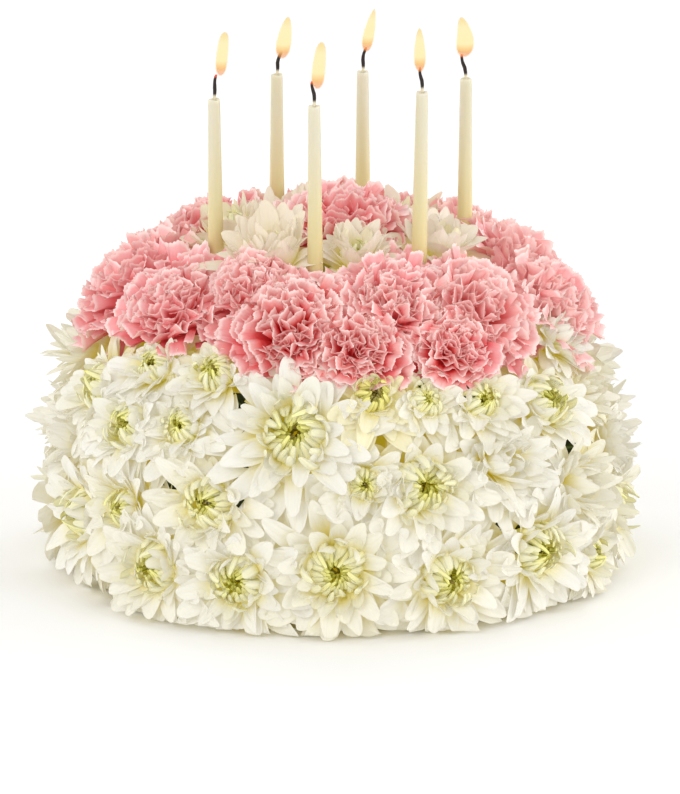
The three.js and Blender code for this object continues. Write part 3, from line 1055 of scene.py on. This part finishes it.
CARNATION_WHORLS = whorls(
    "count tip root bend width curl blunt ruffle waves flutter wander", [
        (11, (1.18, -0.28), (0.10, -0.62), 34, 0.74, 0.30, 0.50, 0.056, 2.0, 0.028, 1.1),
        (11, (1.08, -0.11), (0.10, -0.60), 30, 0.74, 0.32, 0.48, 0.060, 2.1, 0.028, 1.1),
        (12, (0.94, 0.03), (0.10, -0.58), 24, 0.74, 0.35, 0.46, 0.065, 2.2, 0.029, 1.1),
        (10, (0.77, 0.14), (0.10, -0.56), 16, 0.74, 0.38, 0.44, 0.070, 2.2, 0.030, 1.1),
        (8, (0.59, 0.22), (0.08, -0.54), 10, 0.72, 0.42, 0.42, 0.076, 2.3, 0.031, 1.1),
        (7, (0.41, 0.27), (0.06, -0.52), 8, 0.70, 0.47, 0.40, 0.082, 2.3, 0.032, 1.1),
        (5, (0.24, 0.30), (0.05, -0.50), 4, 0.60, 0.52, 0.40, 0.086, 2.3, 0.032, 1.1),
        (3, (0.09, 0.30), (0.04, -0.48), 2, 0.50, 0.55, 0.40, 0.086, 2.3, 0.032, 1.0),
    ], waist=0.10, point=1.0)
LEAF_WHORLS = [Whorl(3, (0.62, -0.26), (0.05, -0.75), 34, 0.34, 0.35, 0.30, 0.30, 1.2)]
# The leaves sit at gaps between the flowers, where their near-black colour is partly painted
# shade.
LEAVES = [  # degrees round the cake from +X, millimetres up, millimetres from rib to tip
    (-126, 57, 24), (-110, 64, 20), (-62, 101, 22), (-111, 93, 20), (-53, 41, 22), (-33, 66, 20),
    (-150, 74, 20), (12, 52, 24), (47, 70, 22), (83, 38, 24), (118, 66, 22), (152, 40, 24),
]

SHAGGY = {
    "mum_08", "mum_11", "mum_12", "mum_17", "mum_20", "mum_23", "tucked_mum_07",
    "tucked_mum_08", "tucked_mum_13", "tucked_mum_18", "tucked_mum_20", "tucked_mum_22"}
WILTED = {"tucked_mum_15"}
PROUD = {"mum_15": 0.3}  # hardly pressed down by the carnations next to it
SINK = {"mum": 5.0, "tucked_mum": 5.0, "crown_mum": 0.0, "carnation": 3.0}  # millimetres
FITTED = {  # by number: share of the flower's own width, and how many millimetres deeper it sits
    "mum": {
        1: (1.0, 8.0), 7: (1.0, 9.0), 8: (0.9, 10.0), 12: (1.0, 8.0), 17: (0.88, 12.0),
        18: (1.0, 9.0), 24: (1.0, 9.0)},
    "tucked_mum": {
        7: (0.86, 9.5), 8: (0.95, 7.5), 13: (0.9, 7.0), 18: (0.9, 6.0), 20: (0.85, 8.0),
        22: (0.78, 10.5)},
    "crown_mum": {
        1: (0.86, 7.0), 2: (0.74, 6.0), 3: (0.80, 6.0), 4: (0.88, 8.5), 5: (0.88, 9.0),
        6: (0.95, 4.5), 7: (0.88, 7.5)},
    "carnation": {
        9: (1.05, 1.5), 10: (1.04, 0.5), 11: (1.0, 3.0), 12: (1.0, 5.0), 14: (1.0, 6.0),
        15: (1.0, 2.0), 16: (1.0, 2.0)},
}
STANDING = {"crown_mum_01": 0.42, "crown_mum_02": 0.36, "crown_mum_03": 0.36}
# For a carnation, fading also makes its painted glow paler and brighter; 09, 10 and 11 are set
# high partly to lighten the shade on them.
FADED = {  # how faded a flower is, where it isn't left to its place in the row
    "carnation_02": 0.15, "carnation_04": 0.0, "carnation_05": 0.1, "carnation_08": 0.45,
    "carnation_09": 0.90, "carnation_10": 0.90, "carnation_11": 0.90, "mum_15": 0.0,
    "tucked_mum_15": 2.0}
CARNATION_SPREAD = {
    "carnation_02": 0.94, "carnation_03": 1.05, "carnation_09": 0.93, "carnation_16": 1.02}
BLANK_SIZES = {"mum": (5, 5), "floret": (5, 3), "carnation": (3, 20, 0.016)}


@functools.cache
def blank_of(kind):
    """The blank of a kind of petal, made the first time that it is asked for."""
    return Blank(*BLANK_SIZES[kind])


def grow(bloom, flower_whorls, seed, spread=1.0, breadth=1.0, others=()):
    """All the petals of a flower's whorls, each ring turned against the one below.

    The others are the flowers whose petals lie on top of this one's.
    """
    rng = np.random.default_rng(seed)
    start = rng.uniform(0, 2 * np.pi)
    parts = []
    for whorl in flower_whorls:
        start += math.pi / whorl.count + rng.uniform(-0.1, 0.1)
        parts.append(grow_whorl(bloom, whorl, start, spread, breadth, others, rng))
    petals = Petals.joined(parts)
    petals.fade += FADED.get(bloom.name, 0.5 * (0.618 * seed % 1))
    return petals


def white_mum(bloom, flower_whorls, seed, *nodes, others=(), spread=None, blush=0.0):
    """A mum with its open petals and, unless it is a shaggy one, the florets of its heart."""
    look = bpy.context.scene.cake_mum
    spread = spread or look.spread
    open_petals = grow(bloom, flower_whorls, seed, spread, look.breadth, others)
    open_petals.blush += blush
    groups = [(blank_of("mum"), open_petals)]
    if bloom.name not in SHAGGY:
        heart_petals = grow(bloom, HEART_WHORLS, seed + 500)
        if bloom.name in WILTED:
            heart_petals.heart += 0.45
        groups.append((blank_of("floret"), heart_petals))
    mesh = petal_mesh(bloom.name, bloom, groups, look.thickness)
    add_piece(f"{bloom.name}_bloom", mesh, white_petal, "white_petal", *nodes)


# ---- operators


class CAKE_OT_mums(bpy.types.Operator):
    """Grow the white mums: tucked in between, round the side, and on the crown"""

    bl_idname = "cake.mums"
    bl_label = "White mums"

    def execute(self, context):
        carnations = node_blooms("carnation")
        for i, bloom in enumerate(tucked_blooms()):
            kind = SHAGGY_WHORLS if bloom.name in SHAGGY else TUCKED_WHORLS
            white_mum(bloom, kind, 200 + i, others=carnations)
        for i, bloom in enumerate(node_blooms("mum")):
            kind = SHAGGY_WHORLS if bloom.name in SHAGGY else OPEN_WHORLS
            white_mum(bloom, kind, i, bloom.name, others=carnations)
        for i, bloom in enumerate(node_blooms("crown_mum")):
            bloom = bloom._replace(lift=STANDING.get(bloom.name, 0.0))
            # The crown mums take the painted pink reflection.
            white_mum(bloom, CROWN_WHORLS, 100 + i, bloom.name, spread=1.0, blush=0.8)
        return {"FINISHED"}


class CAKE_OT_carnations(bpy.types.Operator):
    """Grow the ring of pink carnations and the one in the middle"""

    bl_idname = "cake.carnations"
    bl_label = "Carnations"

    def execute(self, context):
        look = context.scene.cake_carnation
        for i, bloom in enumerate(node_blooms("carnation")):
            spread = CARNATION_SPREAD.get(bloom.name, look.spread)
            petals = grow(bloom, CARNATION_WHORLS, 300 + i, spread)
            petals.ruffle *= look.frill
            petals.flutter *= look.frill
            groups = [(blank_of("carnation"), petals)]
            mesh = petal_mesh(bloom.name, bloom, groups, look.thickness)
            add_piece(f"{bloom.name}_bloom", mesh, pink_petal, "pink_petal", bloom.name)
        return {"FINISHED"}


class CAKE_OT_leaves(bpy.types.Operator):
    """Tuck a few dark leaves under the flowers, where gaps show them"""

    bl_idname = "cake.leaves"
    bl_label = "Leaves"

    def execute(self, context):
        across, deep = DOME
        for i, (heading, height, size) in enumerate(LEAVES):
            place = on_dome(heading, height)
            facing = Vector((
                2 * place[0] / across**2, 2 * place[1] / across**2, 3 * place[2]**2 / deep**3))
            half = size * MM
            bloom = Bloom(
                f"leaf_{i + 1:02d}", place, axes_round(facing.normalized()), half, 0.0,
                np.full(HEADINGS, half))
            petals = grow(bloom, LEAF_WHORLS, 600 + i)
            mesh = petal_mesh(bloom.name, bloom, [(blank_of("mum"), petals)], 0.5 * MM)
            add_piece(bloom.name, mesh, fresh_leaf, None)
        return {"FINISHED"}


def turned(profile, steps):
    """A closed solid turned round the Z axis from points [radius, height].

    The corners' share of the way up is kept in a layer named along.
    """
    shape = bmesh.new()
    corners = [shape.verts.new((radius, 0, height)) for radius, height in profile]
    edges = [shape.edges.new(pair) for pair in zip(corners, corners[1:])]
    bmesh.ops.spin(
        shape, geom=corners + edges, cent=(0, 0, 0), axis=(0, 0, 1),
        angle=2 * math.pi, steps=steps, use_merge=True)
    bmesh.ops.remove_doubles(shape, verts=shape.verts, dist=1e-6)
    bmesh.ops.recalc_face_normals(shape, faces=shape.faces)
    low = min(height for _, height in profile)
    high = max(height for _, height in profile)
    along = shape.verts.layers.float.new("along")
    for vertex in shape.verts:
        vertex[along] = (vertex.co.z - low) / (high - low)
    return shape


class CAKE_OT_foam(bpy.types.Operator):
    """Turn the domed block of flower foam"""

    bl_idname = "cake.foam"
    bl_label = "Flower foam"

    def execute(self, context):
        low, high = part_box("core")
        reach = max(high.x, -low.x) - 33 * MM
        foot, shoulder, top = 0.4 * MM, 14 * MM, high.z - 18 * MM
        profile = [(0, foot), (reach, foot), (reach, shoulder)]
        for i in range(1, 9):
            turn = i / 8 * math.pi / 2
            height = shoulder + (top - shoulder) * math.sin(turn) ** 0.9
            profile.append((reach * math.cos(turn) ** 0.8, height))
        mesh = finished_mesh("foam_core", turned(profile, 64))
        add_piece("foam_core", mesh, flower_foam, "flower_foam", "core")
        return {"FINISHED"}


def at_share(stand, share):
    """The wick's centre at this share of its length, from the melt pool to its tip."""
    root, middle, end = (stand.levels[i] for i in (1, 3, 5))
    first = root.lerp(middle, min(1, 2 * share))
    second = middle.lerp(end, max(0, 2 * share - 1))
    return first if share < 0.5 else second


FACETS = 7  # faint flats left round a dipped candle
WAX_STEPS = 14
WICK_STEPS = 14


class CAKE_OT_candles(bpy.types.Operator):
    """Dip the six candles, each with a melted top and a burnt wick"""

    bl_idname = "cake.candles"
    bl_label = "Candles"

    def execute(self, context):
        look = context.scene.cake_candle
        for i, (name, stand) in enumerate(STANDS.items()):
            rng = np.random.default_rng(400 + i)
            wax = finished_mesh(f"{name}_wax", self.wax(stand, look.melt_rim, rng))
            add_piece(f"{name}_wax", wax, candle_wax, "candle_wax", name)
            wick = finished_mesh(f"{name}_wick", self.wick(stand, rng))
            add_piece(f"{name}_wick", wick, burnt_wick, None)
        return {"FINISHED"}

    @staticmethod
    def wax(stand, rim, rng):
        foot, melt, top = stand.levels[:3]
        wide, _, slim = stand.radii[:3]
        height = (top - foot).length
        pool = (top - melt).length
        profile = [(0, 0), (wide - 0.3 * MM, 0), (wide, 0.4 * MM)]
        profile += [
            (wide + (slim - wide) * i / WAX_STEPS, height * i / WAX_STEPS)
            for i in range(1, WAX_STEPS)]
        profile += [
            (slim, height - 0.9 * MM), (slim - 0.15 * rim, height - 0.3 * MM),
            (slim - 0.6 * rim, height), (slim - 1.3 * rim, height - 0.1 * pool),
            (0.45 * slim, height - 0.8 * pool), (0, height - pool)]
        shape = turned(profile, 28)
        waves = rng.uniform(0, 2 * math.pi, 3)
        for vertex in shape.verts:
            x, y, z = vertex.co
            turn = math.atan2(y, x)
            share = z / height
            swell = 0.012 * math.sin(9 * share + waves[0]) * math.sin(2 * turn + waves[1])
            swell += 0.012 * math.cos(FACETS * turn + waves[0])
            vertex.co.x *= 1 + swell
            vertex.co.y *= 1 + swell
            if share > 0.98:
                uneven = math.sin(2 * turn + waves[2]) * math.hypot(x, y) / slim
                vertex.co.z += 0.22 * MM * uneven
        tilt = UP.rotation_difference((top - foot).normalized())
        place = Matrix.Translation(foot) @ tilt.to_matrix().to_4x4()
        bmesh.ops.transform(shape, matrix=place, verts=shape.verts)
        return shape

    @staticmethod
    def wick(stand, rng):
        """A round rod, turned straight and then laid along the wick's kinked middle."""
        wander = rng.uniform(-1, 1, 2)
        centres, profile = [], [(0, 0)]
        for i in range(WICK_STEPS + 1):
            share = i / WICK_STEPS
            kink = 0.5 * MM * math.sin(2 * math.pi * share + wander[0]) * share
            centres.append(at_share(stand, share) + Vector((kink, kink * wander[1], 0)))
            thick = 0.6 + 0.2 * math.sin(math.pi * min(1, share * 1.1)) ** 2
            profile.append((thick * MM if share < 1 else 0.4 * MM, i))
        shape = turned([*profile, (0, WICK_STEPS)], 10)
        for vertex in shape.verts:
            i = round(vertex.co.z)
            onward = centres[min(i + 1, WICK_STEPS)] - centres[max(i - 1, 0)]
            lean = UP.rotation_difference(onward.normalized())
            vertex.co = centres[i] + lean @ Vector((-vertex.co.y, vertex.co.x, 0))
        return shape


class FlameShape(NamedTuple):
    """How one flame differs from its solid, in millimetres."""

    foot: tuple  # moves the foot to the right and up
    tip: tuple  # moves the tip to the right and up
    round_tip: float  # 0 for a pointed tip, 1 for a round one
    bow: float = 0.0  # how far its middle swells to the right


FLAMES = {
    "flame_01": FlameShape((1.7, 2.2), (1.3, 1.6), 0.8),
    "flame_02": FlameShape((0.3, -0.9), (0.1, -2.2), 0.35),
    "flame_03": FlameShape((1.9, -0.6), (-0.1, 0.0), 0.7),
    "flame_04": FlameShape((0.5, 0.8), (-0.3, 0.0), 0.2),
    "flame_05": FlameShape((-0.2, 0.8), (-1.2, 0.2), 0.3),
    "flame_06": FlameShape((1.0, 1.5), (-0.9, -0.7), 0.35, 0.9),
}
FLAME_DROP = 2.6 * MM  # how far a flame comes down round the wick's tip
FLAME_STEPS = 18


def flame_radius(share, round_tip):
    """A flame's radius at this share of its height, against its widest."""
    pointed = math.sin(math.pi * share**0.6) ** 0.8 if 0 < share < 1 else 0.0
    column = (1 - (2 * share - 1) ** 4) ** 0.5
    return (1 - round_tip) * pointed + round_tip * column


class CAKE_OT_flames(bpy.types.Operator):
    """Light the six flames: a pale body inside a thin orange edge"""

    bl_idname = "cake.flames"
    bl_label = "Flames"

    def execute(self, context):
        halo = context.scene.cake_candle.halo
        for name in nodes_named("flame"):
            low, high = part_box(name)
            solid = merged_copy(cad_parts[name])
            corners = sorted((v.co.copy() for v in solid.verts), key=lambda co: co.z)
            solid.free()
            wide = (high.y - low.y) / 2
            shape = FLAMES[name]
            foot = corners[0] + Vector((shape.foot[0], 0, shape.foot[1])) * MM
            tip = corners[-1] + Vector((shape.tip[0], 0, shape.tip[1])) * MM
            body = self.teardrop(foot, tip, wide - halo / 2, 0.0, shape)
            body = finished_mesh(f"{name}_body", body)
            add_piece(f"{name}_body", body, flame_body, "flame", name)
            edge = self.teardrop(foot, tip, wide + halo / 2, halo, shape)
            edge = finished_mesh(f"{name}_edge", edge)
            add_piece(f"{name}_edge", edge, flame_edge, "flame")
        return {"FINISHED"}

    @staticmethod
    def teardrop(foot, tip, wide, more, kind):
        """A flame from the wick to its tip, blown more and more to one side."""
        height = tip.z - foot.z + FLAME_DROP
        profile = []
        for i in range(FLAME_STEPS + 1):
            share = (1 - math.cos(math.pi * i / FLAME_STEPS)) / 2
            profile.append((
                wide * flame_radius(share, kind.round_tip),
                -more + share * (height + 2 * more)))
        shape = turned(profile, 20)
        blown = tip.x - foot.x
        for vertex in shape.verts:
            share = max(0.0, vertex.co.z / height)
            bow = kind.bow * MM * math.sin(math.pi * min(share, 1.0))
            vertex.co.x += foot.x + blown * share**1.3 + bow
            vertex.co.y += foot.y + (tip.y - foot.y) * share**1.3
            vertex.co.z += foot.z - FLAME_DROP
        return shape


AIM = Vector((1.6, 0, 69.7)) * MM  # what the camera looks at
SEEN = 794 / 2.45 * MM  # height of what the camera sees there
LIGHTS = {  # where each stands, its width and its power
    "key_light": ((-0.9, -2.0, 1.1), 1.2, 15),
    "fill_light": ((1.6, -1.6, 0.9), 1.4, 10),
    "left_light": ((-2.2, -0.1, 0.5), 1.6, 9),
    "right_light": ((2.2, -0.1, 0.5), 1.6, 15),
    "left_back_light": ((-1.5, 1.6, 1.0), 1.4, 10),
    "right_back_light": ((1.4, 1.8, 1.0), 1.4, 12),
}


class CAKE_OT_stage(bpy.types.Operator):
    """Set the floor, the light and the camera"""

    bl_idname = "cake.stage"
    bl_label = "Studio stage"

    def execute(self, context):
        scene = context.scene
        look = scene.cake_stage
        shape = bmesh.new()
        bmesh.ops.create_grid(shape, x_segments=8, y_segments=8, size=look.floor_width / 2)
        floor = bpy.data.objects.new("studio_floor", finished_mesh("studio_floor", shape))
        floor.data.materials.append(finish_of(plain_floor))
        lamps = [self.light(name, *values) for name, values in LIGHTS.items()]
        scene.camera = self.camera(look)
        for made in (floor, *lamps, scene.camera):
            scene.collection.objects.link(made)
        scene.world = self.sky(look.sky)
        scene.view_settings.view_transform = "Standard"
        return {"FINISHED"}

    @staticmethod
    def light(name, place, size, power):
        lamp = bpy.data.lights.new(name, "AREA")
        lamp.shape = "DISK"
        lamp.size = size
        lamp.energy = power
        made = bpy.data.objects.new(name, lamp)
        made.location = place
        aim = Vector((0, 0, 80 * MM)) - made.location
        made.rotation_euler = aim.to_track_quat("-Z", "Y").to_euler()
        return made

    @staticmethod
    def sky(strength):
        world = bpy.data.worlds.new("studio_sky")
        world.use_nodes = True
        back = world.node_tree.nodes["Background"]
        back.inputs["Color"].default_value = (1.0, 1.0, 1.0, 1.0)
        back.inputs["Strength"].default_value = strength
        return world

    @staticmethod
    def camera(look):
        lens = bpy.data.cameras.new("camera")
        lens.lens = lens.sensor_width * look.camera_distance / SEEN
        lens.clip_end = 20
        camera = bpy.data.objects.new("camera", lens)
        back = Vector((0, -math.cos(look.camera_height), math.sin(look.camera_height)))
        camera.location = AIM + back * look.camera_distance
        camera.rotation_euler = (-back).to_track_quat("-Z", "Y").to_euler()
        return camera


class CAKE_PT_panel(bpy.types.Panel):
    """Buttons for every piece of the cake."""

    bl_idname = "CAKE_PT_panel"
    bl_label = "Flower birthday cake"
    bl_space_type = "VIEW_3D"
    bl_region_type = "UI"
    bl_category = "Cake"

    def draw(self, context):
        layout = self.layout
        for operator in OPERATORS:
            layout.operator(operator.bl_idname)
        for key in SETTINGS:
            box = layout.box()
            group = getattr(context.scene, key)
            for name in group.__annotations__:
                box.prop(group, name)


SETTINGS = {
    "cake_mum": MumSettings,
    "cake_carnation": CarnationSettings,
    "cake_candle": CandleSettings,
    "cake_stage": StageSettings,
}
OPERATORS = (
    CAKE_OT_foam, CAKE_OT_mums, CAKE_OT_carnations, CAKE_OT_leaves, CAKE_OT_candles,
    CAKE_OT_flames, CAKE_OT_stage)
CLASSES = (*SETTINGS.values(), *OPERATORS, CAKE_PT_panel)


def register():
    for cls in CLASSES:
        bpy.utils.register_class(cls)
    for key, cls in SETTINGS.items():
        setattr(bpy.types.Scene, key, PointerProperty(type=cls))


def unregister():
    for key in SETTINGS:
        delattr(bpy.types.Scene, key)
    for cls in reversed(CLASSES):
        bpy.utils.unregister_class(cls)


def main():
    register()
    bpy.ops.cake.foam()
    bpy.ops.cake.mums()
    bpy.ops.cake.carnations()
    bpy.ops.cake.leaves()
    bpy.ops.cake.candles()
    bpy.ops.cake.flames()
    bpy.ops.cake.stage()


if __name__ == "__main__":
    main()
